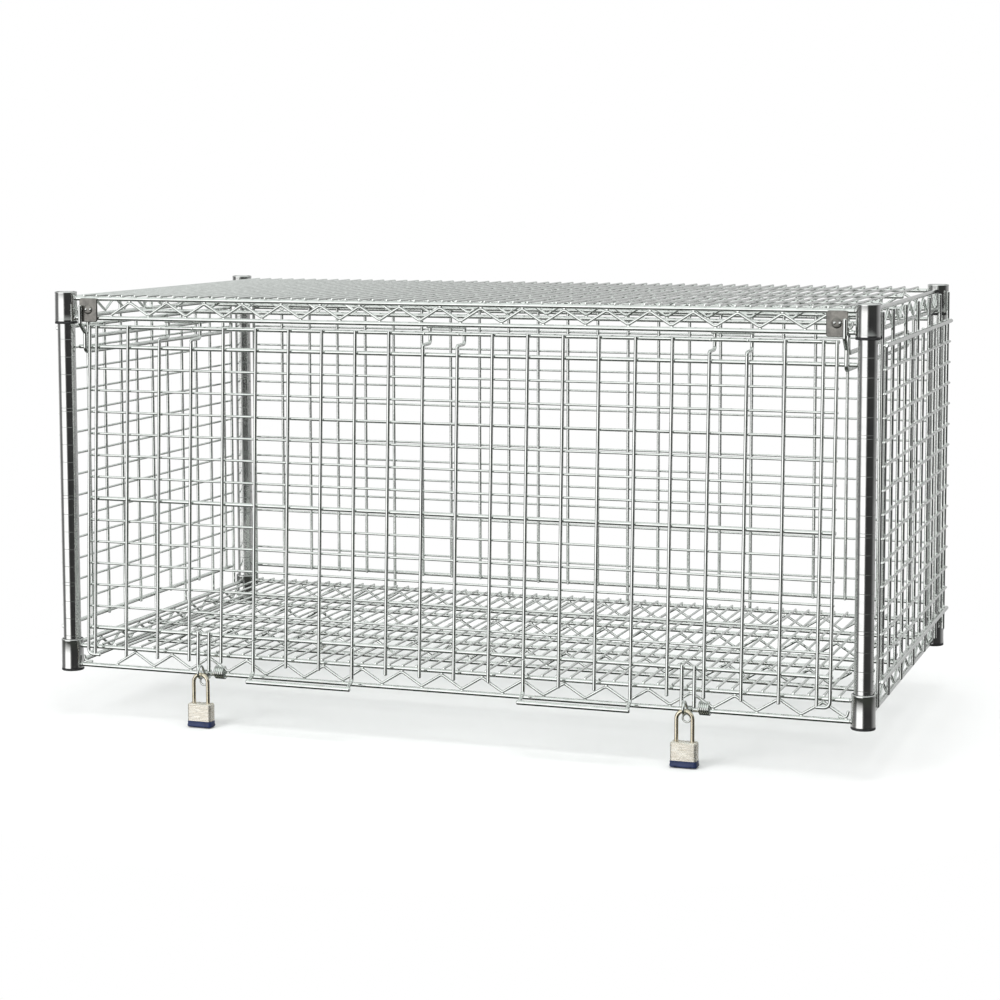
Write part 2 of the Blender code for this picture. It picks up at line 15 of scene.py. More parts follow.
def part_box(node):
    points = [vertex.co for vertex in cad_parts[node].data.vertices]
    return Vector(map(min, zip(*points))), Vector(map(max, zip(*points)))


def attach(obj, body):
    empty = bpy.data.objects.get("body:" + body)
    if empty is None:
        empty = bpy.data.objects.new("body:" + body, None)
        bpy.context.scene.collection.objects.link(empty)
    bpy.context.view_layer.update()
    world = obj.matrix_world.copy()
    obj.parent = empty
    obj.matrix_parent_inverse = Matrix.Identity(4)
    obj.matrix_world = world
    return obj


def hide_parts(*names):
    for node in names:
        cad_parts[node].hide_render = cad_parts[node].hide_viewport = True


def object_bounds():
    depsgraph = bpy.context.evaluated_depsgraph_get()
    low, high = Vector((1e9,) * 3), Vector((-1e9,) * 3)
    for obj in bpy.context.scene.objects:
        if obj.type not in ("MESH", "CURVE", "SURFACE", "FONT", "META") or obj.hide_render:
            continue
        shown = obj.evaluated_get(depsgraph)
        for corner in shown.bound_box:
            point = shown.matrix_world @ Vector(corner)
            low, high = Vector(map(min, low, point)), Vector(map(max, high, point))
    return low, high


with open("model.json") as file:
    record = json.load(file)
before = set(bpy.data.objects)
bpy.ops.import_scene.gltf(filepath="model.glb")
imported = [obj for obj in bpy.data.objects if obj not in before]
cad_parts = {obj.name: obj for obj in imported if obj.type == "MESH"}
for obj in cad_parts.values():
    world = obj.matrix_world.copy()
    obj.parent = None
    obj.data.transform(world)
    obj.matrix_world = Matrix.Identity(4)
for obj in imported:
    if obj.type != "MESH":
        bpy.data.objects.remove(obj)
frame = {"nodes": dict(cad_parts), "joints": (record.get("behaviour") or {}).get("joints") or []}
CAD_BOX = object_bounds()

MM = 0.001
INCH = 0.0254
JOINTS = {joint["name"]: joint for joint in frame["joints"]}
SIDES = {"left": -1, "right": 1}
CORNERS = {f"{end}_{side}": (sx, sy)
           for end, sy in (("front", -1), ("rear", 1)) for side, sx in SIDES.items()}
SHELVES = {shelf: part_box(f"{shelf}_sleeve_front_left")[0].z for shelf in ("bottom", "top")}

# Posts, measured from the frame
POST_LOW, POST_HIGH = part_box("post_front_right")
POST_RADIUS = (POST_HIGH.x - POST_LOW.x) / 2
POST_X, POST_Y = POST_LOW.x + POST_RADIUS, -(POST_LOW.y + POST_RADIUS)

# Grooves and shelves. A bite is how far wires that are welded together sink into each other
GROOVE_PITCH, GROOVE_DEPTH, GROOVE_WIDTH = INCH, 0.11 * MM, 1.1 * MM
GROOVE_START, GROOVE_STEPS = 0.2 * MM, 3
DOUBLE_GROOVE_EVERY, DOUBLE_GROOVE_GAP = 5, 4.6 * MM
LOW_RAIL, HIGH_RAIL, RAIL = 8.6 * MM, 36.3 * MM, 3.2 * MM
ZIGZAG_WIRE, ZIGZAG_PERIOD, ZIGZAG_START = 2.0 * MM, 59 * MM, 25.5 * MM
ZIGZAG_BITE, ZIGZAG_BEND, ZIGZAG_MARGIN = 0.5 * MM, 5.5 * MM, 4 * MM
DECK_WIRE, DECK_PITCH, DECK_BITE, DECK_MARGIN = 1.75 * MM, 20.3 * MM, 0.3 * MM, 20 * MM
MIDDLE_TRUSS_Y = 97 * MM

# Turned outlines of the corner parts, as (radius, height) in millimetres
CAP_OUTLINE = ((10.9, -0.4), (10.9, 0.1), (12.4, 0.12), (12.7, 0.5), (12.6, 1.3), (11.9, 2.1),
               (10.2, 2.75), (7.0, 3.15), (3.2, 3.28), (0.6, 3.3))
SLEEVE_OUTLINE = ((13.0, 0), (15.7, 0), (16.2, 0.5), (16.2, 2.4), (15.8, 3.0), (13.9, 3.1),
                  (13.9, 45.4), (13.6, 45.7), (13.0, 45.7))
COLLAR_OUTLINE = ((14.2, 3.3), (15.7, 3.3), (16.2, 3.8), (16.15, 6.0), (15.95, 6.6), (15.65, 43.2),
                  (15.85, 43.8), (15.8, 45.4), (15.3, 46.0), (14.2, 46.0))
COLLAR_FACE = 15.4 * MM

# Mesh panels. Places along a panel are counted in mesh pitches from its middle
MESH_PITCH, ROW_PITCH, ROW_COUNT = 25.1 * MM, 31.2 * MM, 15
UPRIGHT, THIN_ROW, THICK_ROW, MESH_BITE = 2.5 * MM, 1.7 * MM, 3.0 * MM, 0.2 * MM
MESH_WELD = (1.9 * MM, 1.9 * MM, 1.7 * MM)
PANEL_FOOT, PANEL_LOW_ROW, PANEL_TOP = 27 * MM, 60.5 * MM, 541 * MM
PANEL_EDGE, PANEL_GAP, PANEL_ROW_REACH = 2.0 * MM, 0.5 * MM, 0.5 * MM
SIDE_PLACES = (-11, *range(-10, 11, 2), 11)
LONG_SIDE_PLACES = (-11, -8, -4, 0, 4, 8, 11)
BACK_PLACES, BACK_SHIFT, BACK_LEAST_GAP = range(-23, 23, 2), 13 * MM, 8 * MM

# The door, in its own coordinates with the pivot rod as X axis. It has no row at the rod's
# height: its top row is at DOOR_TOP_ROW instead
PIVOT = Vector(JOINTS["door_swing"]["pos_m"])
DOOR_LEAN = math.radians(2.64)
DOOR_PLACE = Matrix.Translation(PIVOT) @ Matrix.Rotation(-DOOR_LEAN, 4, "X")
DOOR_ROW_COUNT = 14
DOOR_ROWS = [(k - DOOR_ROW_COUNT + 1) * ROW_PITCH for k in range(DOOR_ROW_COUNT)]
THICK_ROWS = (0, 6, DOOR_ROW_COUNT - 1)
DOOR_TOP_ROW, DOOR_WIRE_REACH = 29 * MM, 2.5 * MM
DOOR_MIDDLE, DOOR_LEFT, DOOR_RIGHT = -6.3 * MM, -544.3 * MM, 538.3 * MM
DOOR_WIRE_Y, DOOR_CORNER, DOOR_FOOT_RUN = -5.4 * MM, 12 * MM, 19.2 * MM
TOOTH_FOOT = -444.6 * MM
DOOR_PLACES = range(-21, 22, 2)
FINGERS = {"left": (-17, -15), "middle": (-1, 1), "right": (15, 17)}
FINGER_FOOT, FINGER_JOIN, FINGER_BACK, FINGER_TOP = 8.8 * MM, 9 * MM, 22 * MM, 43 * MM
FINGER_CROSS_DROP, FINGER_CROSS_WIRE, OVERHANG = 5 * MM, 2.0 * MM, 4 * MM
HANDLES = {"left": (-11, -5), "right": (5, 11)}
HANDLE_FRONT, HANDLE_FOOT, HANDLE_LEG, HANDLE_GRIP = -20.8 * MM, -465 * MM, 2.7 * MM, 3.2 * MM
HANDLE_START = DOOR_ROWS[0] - 3.4 * MM
HASPS = {"left": -360 * MM, "right": 349 * MM}
HASP_BAR, HASP_BAR_HALF_GAP, HASP_BAR_FOOT = 2.7 * MM, 8.5 * MM, -457.5 * MM

# Tracks and the bracket plates that they hang from
TRACK_WIRE, ROD_GAP, TRACK_BEND = 3 * MM, 0.6 * MM, 3 * MM
TRACK_HIGH_RUN, TRACK_MOUTH = 486 * MM, 492 * MM
TRACK_STEM_TOP, TRACK_STEM_FOOT, TRACK_FRONT_TOP = 532 * MM, 506 * MM, 526 * MM
BRACKET_CORNER, RIVET_HEAD, RIVET_HEIGHT = 3.5 * MM, 7 * MM, 1.4 * MM
# The two dots are small bright chrome domes on the dark steel disc: painted highlights.
RIVET_RISE, HIGHLIGHT_DOT_PLACES, HIGHLIGHT_DOT_RADIUS = 1 * MM, (-3 * MM, 4 * MM), 2.2 * MM

# Hasps: a ribbed saddle with a shoe and a post, a coil beside it on the bottom front rail, a
# ring that carries the lock and a small eye behind it
SADDLE_PITCH, SADDLE_RADII, SADDLE_WIRE = 1.7 * MM, (6.1 * MM, 6.6 * MM), 0.95 * MM
SADDLE_SHOE, SADDLE_SHOE_DROP, SADDLE_POST, SADDLE_POST_OUT = 2.0 * MM, 5.2 * MM, 2.6 * MM, 5.5 * MM
COIL_RADIUS, COIL_WIRE, COIL_ADVANCE, COIL_START = 8.2 * MM, 1.5 * MM, 0.24 * MM, 16 * MM
COIL_STEPS, COIL_STEPS_PER_TURN, COIL_RISE = 61, 12, 3 * MM
RING_RADIUS, RING_WIRE = 8.5 * MM, 1.7 * MM
EYE_RADIUS, EYE_WIRE, EYE_SHIFT, EYE_Y, EYE_Z = 5.5 * MM, 1.4 * MM, 1 * MM, -300 * MM, -1 * MM

# Padlocks
SHACKLE_WIRE, SHACKLE_DEPTH = 2.75 * MM, 6 * MM
PLATE_COUNT, PLATE_CORNER, PLATE_EDGE, LAST_PLATE_EDGE = 12, 3.5 * MM, 0.32 * MM, 1.0 * MM
PLATE_STEP = 0.12 * MM
PIN_X, PIN_Y, PIN_RADIUS, PIN_HEIGHT = 15.2 * MM, 5 * MM, 1.7 * MM, 0.9 * MM
LEG_COLLAR_OUTLINE = ((3.1, 0), (4.0, 0), (3.9, 0.7), (3.1, 0.7))


# ---------------------------------------------------------------- materials

NOISE_DETAIL, WEAR_OVER_CLOUD, BUMP_HEIGHT = 4.0, 3.1, 0.3 * MM


def node(tree, kind, **values):
    made = tree.nodes.new(kind)
    for name, value in values.items():
        setattr(made, name, value)
    return made


def noise(tree, coordinates, scale, stretch=(1, 1, 1)):
    mapping = node(tree, "ShaderNodeMapping")
    mapping.inputs["Scale"].default_value = stretch
    tree.links.new(coordinates, mapping.inputs["Vector"])
    texture = node(tree, "ShaderNodeTexNoise")
    texture.inputs["Scale"].default_value = scale
    texture.inputs["Detail"].default_value = NOISE_DETAIL
    tree.links.new(mapping.outputs["Vector"], texture.inputs["Vector"])
    return texture.outputs["Fac"]


def ramp(tree, value, stops):
    made = node(tree, "ShaderNodeValToRGB")
    points = made.color_ramp.elements
    while len(points) < len(stops):
        points.new(0.5)
    for point, (place, colour) in zip(points, stops):
        point.position = place
        point.color = (*colour, 1)
    tree.links.new(value, made.inputs["Fac"])
    return made.outputs["Color"]


def grey(level):
    return (level, level, level)


def surface(name, metallic, colours, roughness, noise_scale, bump, bump_scale, stretch=(1, 1, 1)):
    """A Principled material whose colour, roughness and bump all vary over the piece."""
    material = bpy.data.materials.new(name)
    material.use_nodes = True
    tree = material.node_tree
    shader = tree.nodes["Principled BSDF"]
    place = node(tree, "ShaderNodeTexCoord").outputs["Object"]
    cloud = noise(tree, place, noise_scale, stretch=stretch)
    tree.links.new(ramp(tree, cloud, [(0.32, colours[0]), (0.68, colours[1])]), shader.inputs["Base Color"])
    wear = noise(tree, place, noise_scale * WEAR_OVER_CLOUD, stretch=stretch)
    low, high = roughness
    tree.links.new(ramp(tree, wear, [(0.3, grey(low)), (0.7, grey(high))]), shader.inputs["Roughness"])
    grain = noise(tree, place, bump_scale, stretch=stretch)
    bumps = node(tree, "ShaderNodeBump")
    bumps.inputs["Strength"].default_value = bump
    bumps.inputs["Distance"].default_value = BUMP_HEIGHT
    tree.links.new(grain, bumps.inputs["Height"])
    tree.links.new(bumps.outputs["Normal"], shader.inputs["Normal"])
    shader.inputs["Metallic"].default_value = metallic
    return material


def make_materials():
    return {
        "chrome_wire": surface("chrome_wire", 1.0, ((0.78, 0.80, 0.78), (0.90, 0.92, 0.90)),
                               (0.05, 0.13), 60, 0.06, 900),
        "chrome_post": surface("chrome_post", 1.0, ((0.66, 0.67, 0.66), (0.80, 0.80, 0.79)),
                               (0.06, 0.15), 40, 0.05, 700),
        "bracket_steel": surface("bracket_steel", 0.9, ((0.17, 0.165, 0.155), (0.27, 0.26, 0.24)),
                                 (0.25, 0.40), 120, 0.15, 900),
        "black_plastic": surface("black_plastic", 0.0, ((0.012, 0.012, 0.013), (0.03, 0.03, 0.032)),
                                 (0.35, 0.55), 150, 0.25, 2500),
        "lock_steel": surface("lock_steel", 0.85, ((0.72, 0.67, 0.58), (0.93, 0.90, 0.83)),
                              (0.18, 0.32), 90, 0.25, 1200, (1, 1, 12)),
        "shackle_steel": surface("shackle_steel", 1.0, ((0.74, 0.66, 0.50), (0.86, 0.79, 0.65)),
                                 (0.12, 0.24), 120, 0.08, 1500),
        "blue_plastic": surface("blue_plastic", 0.0, ((0.010, 0.018, 0.060), (0.020, 0.035, 0.110)),
                                (0.30, 0.48), 140, 0.2, 2200),
        "brass": surface("brass", 1.0, ((0.55, 0.40, 0.16), (0.78, 0.60, 0.28)),
                         (0.2, 0.38), 200, 0.2, 1800),
    }


MATERIALS = make_materials()


# ---------------------------------------------------------------- shapes

NEARLY_STRAIGHT, MOST_OF_A_RUN = math.radians(89), 0.49
WIRE_END, WIRE_END_RADIUS = 0.38, 0.62
DOME_STEPS, DOME_ROWS, DOME_TILT = 20, 5, math.radians(84)
SMOOTH_BELOW = math.radians(38)


def full_turn(count):
    return [2 * math.pi * k / count for k in range(count)]


def arc(start, step, count):
    """Angles in radians from a start and a step in degrees."""
    return [math.radians(start + step * k) for k in range(count)]


def outline(points, stretch=1.0):
    """A turned outline in metres from one in millimetres, stretched upwards."""
    return [(radius * MM, height * stretch * MM) for radius, height in points]


def fillet(points, radius, steps=4):
    """Rounds the inner corners of a path of straight runs."""
    path = [Vector(p) for p in points]
    rounded = [path[0]]
    for before, corner, after in zip(path, path[1:], path[2:]):
        back, on = (before - corner), (after - corner)
        half = back.angle(on) / 2
        if half > NEARLY_STRAIGHT:
            rounded.append(corner)
            continue
        reach = min(radius / math.tan(half), MOST_OF_A_RUN * back.length, MOST_OF_A_RUN * on.length)
        start, end = corner + back.normalized() * reach, corner + on.normalized() * reach
        for step in range(steps + 1):
            t = step / steps
            rounded.append(start.lerp(corner, t).lerp(corner.lerp(end, t), t))
    rounded.append(path[-1])
    return rounded


def rounded_rectangle(width, depth, radius, steps=5):
    corners = ((1, 1, 0), (-1, 1, 90), (-1, -1, 180), (1, -1, 270))
    points = []
    for sx, sy, start in corners:
        for step in range(steps + 1):
            angle = math.radians(start + 90 * step / steps)
            points.append((sx * (width / 2 - radius) + radius * math.cos(angle),
                           sy * (depth / 2 - radius) + radius * math.sin(angle)))
    return points


class Shape:
    """Collects wires, welds, turned and stacked forms into one mesh."""

    def __init__(self, sides=10):
        self.points, self.faces, self.sides = [], [], sides

    def skin(self, rings, closed=False):
        """Joins rings of points, which all have the same count, and caps the open ends."""
        start, count = len(self.points), len(rings[0])
        for ring in rings:
            self.points += ring
        spans = len(rings) if closed else len(rings) - 1
        for i in range(spans):
            a, b = start + i * count, start + (i + 1) % len(rings) * count
            for j in range(count):
                k = (j + 1) % count
                self.faces.append((a + j, a + k, b + k, b + j))
        if not closed:
            last = start + (len(rings) - 1) * count
            self.faces.append(tuple(range(start + count - 1, start - 1, -1)))
            self.faces.append(tuple(range(last, last + count)))

    def wire(self, path, radius, closed=False, sides=None):
        """A round wire along a path, with softened ends."""
        sides = sides or self.sides
        path = [Vector(p) for p in path]
        count = len(path)
        ways = []
        for i in range(count):
            before = path[i - 1] if i or closed else path[i]
            after = path[(i + 1) % count] if i < count - 1 or closed else path[i]
            ways.append((after - before).normalized())
        side = ways[0].orthogonal().normalized()
        rings = []
        for i, (place, way) in enumerate(zip(path, ways)):
            side = (side - way * side.dot(way)).normalized()
            other = way.cross(side)
            shares = [(0.0, 1.0)]
            if not closed and i == 0:
                shares = [(0.0, WIRE_END_RADIUS), (WIRE_END, 1.0)]
            elif not closed and i == count - 1:
                shares = [(-WIRE_END, 1.0), (0.0, WIRE_END_RADIUS)]
            for shift, share in shares:
                rings.append([place + way * shift * radius
                              + (side * math.cos(turn) + other * math.sin(turn)) * radius * share
                              for turn in full_turn(sides)])
        self.skin(rings, closed)

    def weld(self, place, size, rows=3, turns=6):
        """A small flattened bead where two wires cross. Size is its three half widths."""
        place, rings = Vector(place), []
        for i in range(rows + 1):
            tilt = math.pi * (i + 0.35) / (rows + 0.7) - math.pi / 2
            rings.append([place + Vector((size[0] * math.cos(tilt) * math.cos(turn),
                                          size[1] * math.cos(tilt) * math.sin(turn),
                                          size[2] * math.sin(tilt)))
                          for turn in full_turn(turns)])
        self.skin(rings)

    def turned(self, centre, profile, steps=40, closed=False):
        """A form turned about a vertical axis: profile is (radius, height) from the foot up."""
        centre = Vector(centre)
        rings = [[centre + Vector((radius * math.cos(turn), radius * math.sin(turn), height))
                  for turn in full_turn(steps)] for radius, height in profile]
        self.skin(rings, closed)

    def stacked(self, centre, levels):
        """A block with rounded corners: levels are (height, width, depth, corner radius)."""
        centre = Vector(centre)
        rings = [[centre + Vector((x, y, height)) for x, y in rounded_rectangle(width, depth, radius)]
                 for height, width, depth, radius in levels]
        self.skin(rings)

    def dome(self, centre, way, radius, height):
        """A rivet head on a flat face; way points out of the face."""
        facing = Vector((0, 0, 1)).rotation_difference(Vector(way)).to_matrix()
        rings = []
        for i in range(DOME_ROWS + 1):
            tilt = DOME_TILT * i / DOME_ROWS
            rings.append([Vector(centre) + facing @ Vector((radius * math.cos(tilt) * math.cos(turn),
                                                            radius * math.cos(tilt) * math.sin(turn),
                                                            height * math.sin(tilt)))
                          for turn in full_turn(DOME_STEPS)])
        self.skin(rings)

    def finish(self, name, slot, body, replaces=(), place=None, material=None):
        """Makes the object, gives it its material and hangs it on its body."""
        mesh = bpy.data.meshes.new(name)
        mesh.from_pydata([tuple(p) for p in self.points], [], self.faces)
        shape = bmesh.new()
        shape.from_mesh(mesh)
        bmesh.ops.recalc_face_normals(shape, faces=shape.faces)
        shape.to_mesh(mesh)
        shape.free()
        if place is not None:
            mesh.transform(place)
        mesh.shade_smooth()
        mesh.set_sharp_from_angle(angle=SMOOTH_BELOW)
        mesh.materials.append(MATERIALS[material or slot])
        piece = bpy.data.objects.new(name, mesh)
        bpy.context.scene.collection.objects.link(piece)
        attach(piece, body)
        if replaces:
            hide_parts(*replaces)
        return piece


# ---------------------------------------------------------------- posts and corner joints


def groove_heights(low, high):
    """Heights of the post's grooves; every fifth one is a pair."""
    heights = []
    count = int((high - low) / GROOVE_PITCH) + 1
    for n in range(1, count):
        height = low + GROOVE_START + n * GROOVE_PITCH
        if n % DOUBLE_GROOVE_EVERY:
            heights.append(height)
        else:
            heights += [height - DOUBLE_GROOVE_GAP / 2, height + DOUBLE_GROOVE_GAP / 2]
    return [h for h in heights if h < high - GROOVE_WIDTH]


def make_post(corner, x, y):
    post = Shape()
    low, high = POST_LOW.z, POST_HIGH.z
    profile = [(POST_RADIUS - 1.2 * MM, low), (POST_RADIUS - 0.3 * MM, low + 0.2 * MM),
               (POST_RADIUS, low + 0.9 * MM)]
    for height in groove_heights(low, high):
        profile.append((POST_RADIUS, height - GROOVE_WIDTH))
        for step in range(-GROOVE_STEPS, GROOVE_STEPS + 1):
            share = math.cos(math.pi * step / (2 * GROOVE_STEPS)) ** 2
            profile.append((POST_RADIUS - GROOVE_DEPTH * share,
                            height + GROOVE_WIDTH * step / (2 * GROOVE_STEPS)))
        profile.append((POST_RADIUS, height + GROOVE_WIDTH))
    profile += [(POST_RADIUS, high - 0.4 * MM), (POST_RADIUS - 0.4 * MM, high)]
    post.turned((x, y, 0), profile, 48)
    post.finish(f"post_tube_{corner}", "chrome_post", "root", [f"post_{corner}"])
    cap = Shape()
    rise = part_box(f"post_cap_{corner}")[1].z - high
    cap.turned((x, y, high), outline(CAP_OUTLINE, rise / (CAP_OUTLINE[-1][1] * MM)), 40)
    cap.finish(f"post_cap_shell_{corner}", "chrome_post", "root", [f"post_cap_{corner}"])


def make_corner(shelf, base, corner, x, y):
    sleeve = Shape()
    sleeve.turned((x, y, base), outline(SLEEVE_OUTLINE), 40, closed=True)
    sleeve.finish(f"{shelf}_split_sleeve_{corner}", "black_plastic", "root", [f"{shelf}_sleeve_{corner}"])
    collar = Shape()
    collar.turned((x, y, base), outline(COLLAR_OUTLINE), 44, closed=True)
    for height in (LOW_RAIL, HIGH_RAIL):
        for inward_x, inward_y in ((-math.copysign(1, x), 0), (0, -math.copysign(1, y))):
            spot = (x + inward_x * COLLAR_FACE, y + inward_y * COLLAR_FACE, base + height)
            collar.weld(spot, (3.2 * MM, 3.2 * MM, 3.6 * MM), rows=4, turns=10)
    collar.finish(f"{shelf}_cast_collar_{corner}", "chrome_post", "root", [f"{shelf}_collar_{corner}"])


def make_posts():
    for corner, (sx, sy) in CORNERS.items():
        make_post(corner, sx * POST_X, sy * POST_Y)
        for shelf, base in SHELVES.items():
            make_corner(shelf, base, corner, sx * POST_X, sy * POST_Y)


# ---------------------------------------------------------------- shelves


def add_truss(shape, place, along, half, base, start):
    """Two rails, the zigzag wire between them and a small hook at each end of the low rail.

    Along is 0 for X and 1 for Y. Start is where the zigzag touches the low rail.
    """

    def at(distance, height):
        return (distance, place, base + height) if along == 0 else (place, distance, base + height)

    for height in (LOW_RAIL, HIGH_RAIL):
        shape.wire([at(-half, height), at(half, height)], RAIL, sides=14)
    hook_height = LOW_RAIL + 5 * MM
    for end in (-1, 1):
        hook = [at(end * (half - 16 * MM), hook_height), at(end * (half - 5 * MM), hook_height),
                at(end * (half - 2.5 * MM), LOW_RAIL + 14 * MM)]
        shape.wire(fillet(hook, 5 * MM, 5), ZIGZAG_WIRE)
    low = LOW_RAIL + RAIL + ZIGZAG_WIRE - ZIGZAG_BITE
    high = HIGH_RAIL - RAIL - ZIGZAG_WIRE + ZIGZAG_BITE
    first = start - ZIGZAG_PERIOD * math.floor((start + half) / ZIGZAG_PERIOD)
    path, n = [], 0
    while first + n * ZIGZAG_PERIOD / 2 < half - ZIGZAG_MARGIN:
        distance = first + n * ZIGZAG_PERIOD / 2
        path.append(at(distance, high if n % 2 else low))
        n += 1
    for point in path:
        outwards = -1 if abs(point[2] - base - low) < MM else 1
        spot = Vector(point) + Vector((0, 0, outwards * ZIGZAG_WIRE * 0.8))
        across = (3.0 * MM, 2.2 * MM) if along == 0 else (2.2 * MM, 3.0 * MM)
        shape.weld(spot, (*across, 1.6 * MM))
    shape.wire(fillet(path, ZIGZAG_BEND, 5), ZIGZAG_WIRE)


def make_shelf(shelf, base):
    long_half, short_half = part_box(f"{shelf}_truss_front")[1].x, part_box(f"{shelf}_truss_left")[1].y
    for end, y in (("front", -POST_Y), ("rear", POST_Y)):
        truss = Shape()
        add_truss(truss, y, 0, long_half, base, ZIGZAG_START)
        truss.finish(f"{shelf}_rails_{end}", "chrome_wire", "root", [f"{shelf}_truss_{end}"])
    for side, sign in SIDES.items():
        truss = Shape()
        add_truss(truss, sign * POST_X, 1, short_half, base, 0)
        truss.finish(f"{shelf}_rails_{side}", "chrome_wire", "root", [f"{shelf}_truss_{side}"])
    deck = Shape(8)
    height = base + HIGH_RAIL + RAIL + DECK_WIRE - DECK_BITE
    reach, count = POST_Y + RAIL, int((POST_X - DECK_MARGIN) / DECK_PITCH)
    for n in range(-count, count + 1):
        x = n * DECK_PITCH
        deck.wire([(x, -reach, height), (x, 0, height), (x, reach, height)], DECK_WIRE)
        for y in (-POST_Y, -MIDDLE_TRUSS_Y, MIDDLE_TRUSS_Y, POST_Y):
            deck.weld((x, y, height - DECK_WIRE), (2.3 * MM, 2.3 * MM, 1.1 * MM))
    for y in (-MIDDLE_TRUSS_Y, MIDDLE_TRUSS_Y):
        add_truss(deck, y, 0, POST_X - DECK_MARGIN, base, ZIGZAG_START)
    deck.finish(f"{shelf}_deck_wires", "chrome_wire", "root", [f"{shelf}_deck"])


# ---------------------------------------------------------------- side and back panels


def add_panel(shape, uprights, half, at):
    """Uprights are (place, runs past the rows). at(place, depth, height) gives a point."""
    rows = [PANEL_LOW_ROW + k * ROW_PITCH for k in range(ROW_COUNT)]
    for place, long in uprights:
        if long:
            heights = (PANEL_FOOT, rows[0], rows[-1], PANEL_TOP)
        else:
            heights = (rows[0] - THICK_ROW, rows[-1] + THICK_ROW)
        shape.wire([at(place, 0, height) for height in heights], UPRIGHT)
    for k, height in enumerate(rows):
        radius = THICK_ROW if k in (0, ROW_COUNT - 1) else THIN_ROW
        depth = UPRIGHT + radius - MESH_BITE
        shape.wire([at(place, depth, height) for place in (-half, 0, half)], radius)
        for place, _ in uprights:
            shape.weld(at(place, UPRIGHT, height), MESH_WELD)


def make_panels():
    for side, sign in SIDES.items():
        low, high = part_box(f"side_panel_{side}")
        half = high.y - PANEL_EDGE
        x = sign * (max(abs(low.x), abs(high.x)) - 2 * UPRIGHT - PANEL_GAP)
        uprights = [(math.copysign(half, p) if abs(p) == SIDE_PLACES[-1] else p * MESH_PITCH,
                     p in LONG_SIDE_PLACES) for p in SIDE_PLACES]
        panel = Shape()
        add_panel(panel, uprights, half + PANEL_ROW_REACH,
                  lambda place, depth, height: (x + sign * depth, place, height))
        panel.finish(f"side_mesh_{side}", "chrome_wire", "root", [f"side_panel_{side}"])
    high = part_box("back_panel")[1]
    half, y = high.x - PANEL_EDGE, high.y - 2 * UPRIGHT - PANEL_GAP
    places = [BACK_SHIFT + i * MESH_PITCH for i in BACK_PLACES]
    uprights = [(-half, True), (half, True)]
    uprights += [(place, n % 4 == 1) for n, place in enumerate(places)
                 if abs(place) < half - BACK_LEAST_GAP]
    panel = Shape()
    add_panel(panel, uprights, half + PANEL_ROW_REACH,
              lambda place, depth, height: (place, y + depth, height))
    panel.finish("back_mesh", "chrome_wire", "root", ["back_panel"])


# ---------------------------------------------------------------- door


def door_x(place):
    """Across position of a door wire; neighbouring wires are two places apart."""
    return DOOR_MIDDLE + place * MESH_PITCH


def make_door_mesh():
    door = Shape()
    fingers = {place for pair in FINGERS.values() for place in pair}
    handles = {place for pair in HANDLES.values() for place in pair}
    bottom, frame_top = DOOR_ROWS[0], DOOR_TOP_ROW + DOOR_WIRE_REACH
    for place in DOOR_PLACES:
        x = door_x(place)
        top = FINGER_JOIN if place in fingers else frame_top
        foot = bottom - THICK_ROW if place in handles else TOOTH_FOOT
        door.wire([(x, DOOR_WIRE_Y, height) for height in (foot, bottom, top)], UPRIGHT)
    for x, inward in ((DOOR_LEFT, 1), (DOOR_RIGHT, -1)):
        path = [(x, DOOR_WIRE_Y, frame_top), (x, DOOR_WIRE_Y, TOOTH_FOOT),
                (x + inward * DOOR_FOOT_RUN, DOOR_WIRE_Y, TOOTH_FOOT)]
        door.wire(fillet(path, DOOR_CORNER, 8), UPRIGHT)
    uprights = [door_x(place) for place in DOOR_PLACES] + [DOOR_LEFT, DOOR_RIGHT]
    for k, height in enumerate([*DOOR_ROWS[:-1], DOOR_TOP_ROW]):
        radius = THICK_ROW if k in THICK_ROWS else THIN_ROW
        depth = DOOR_WIRE_Y + UPRIGHT + radius - MESH_BITE
        door.wire([(x, depth, height) for x in (DOOR_LEFT - UPRIGHT, 0, DOOR_RIGHT + UPRIGHT)], radius)
        for x in uprights:
            door.weld((x, DOOR_WIRE_Y + UPRIGHT, height), MESH_WELD)
    for middle in HASPS.values():
        for step in (-1, 1):
            x = middle + step * HASP_BAR_HALF_GAP
            door.wire([(x, DOOR_WIRE_Y, HASP_BAR_FOOT), (x, DOOR_WIRE_Y, bottom + 5 * MM)], HASP_BAR)
            door.weld((x, DOOR_WIRE_Y + 2 * MM, bottom), (2.4 * MM, 2.4 * MM, 3.4 * MM))
    door.finish("door_wires", "chrome_wire", "door", ["door_mesh"], DOOR_PLACE)


def make_fingers():
    for name, pair in FINGERS.items():
        left, right = (door_x(place) for place in pair)
        finger = Shape(12)
        cross_y, cross_z = FINGER_BACK - UPRIGHT * 1.7, FINGER_TOP - FINGER_CROSS_DROP
        for x in (left, right):
            side = [(x, DOOR_WIRE_Y, FINGER_FOOT), (x, DOOR_WIRE_Y, 13 * MM),
                    (x, FINGER_BACK, 15 * MM), (x, FINGER_BACK, FINGER_TOP)]
            finger.wire(fillet(side, 6 * MM, 6), UPRIGHT)
            finger.weld((x, FINGER_BACK - 2 * MM, cross_z), (2.4 * MM, 2.0 * MM, 2.2 * MM))
        finger.wire([(left - OVERHANG, cross_y, cross_z), (right + OVERHANG, cross_y, cross_z)],
                    FINGER_CROSS_WIRE)
        finger.finish(f"door_hook_{name}", "chrome_wire", "door", [f"door_finger_{name}"], DOOR_PLACE)


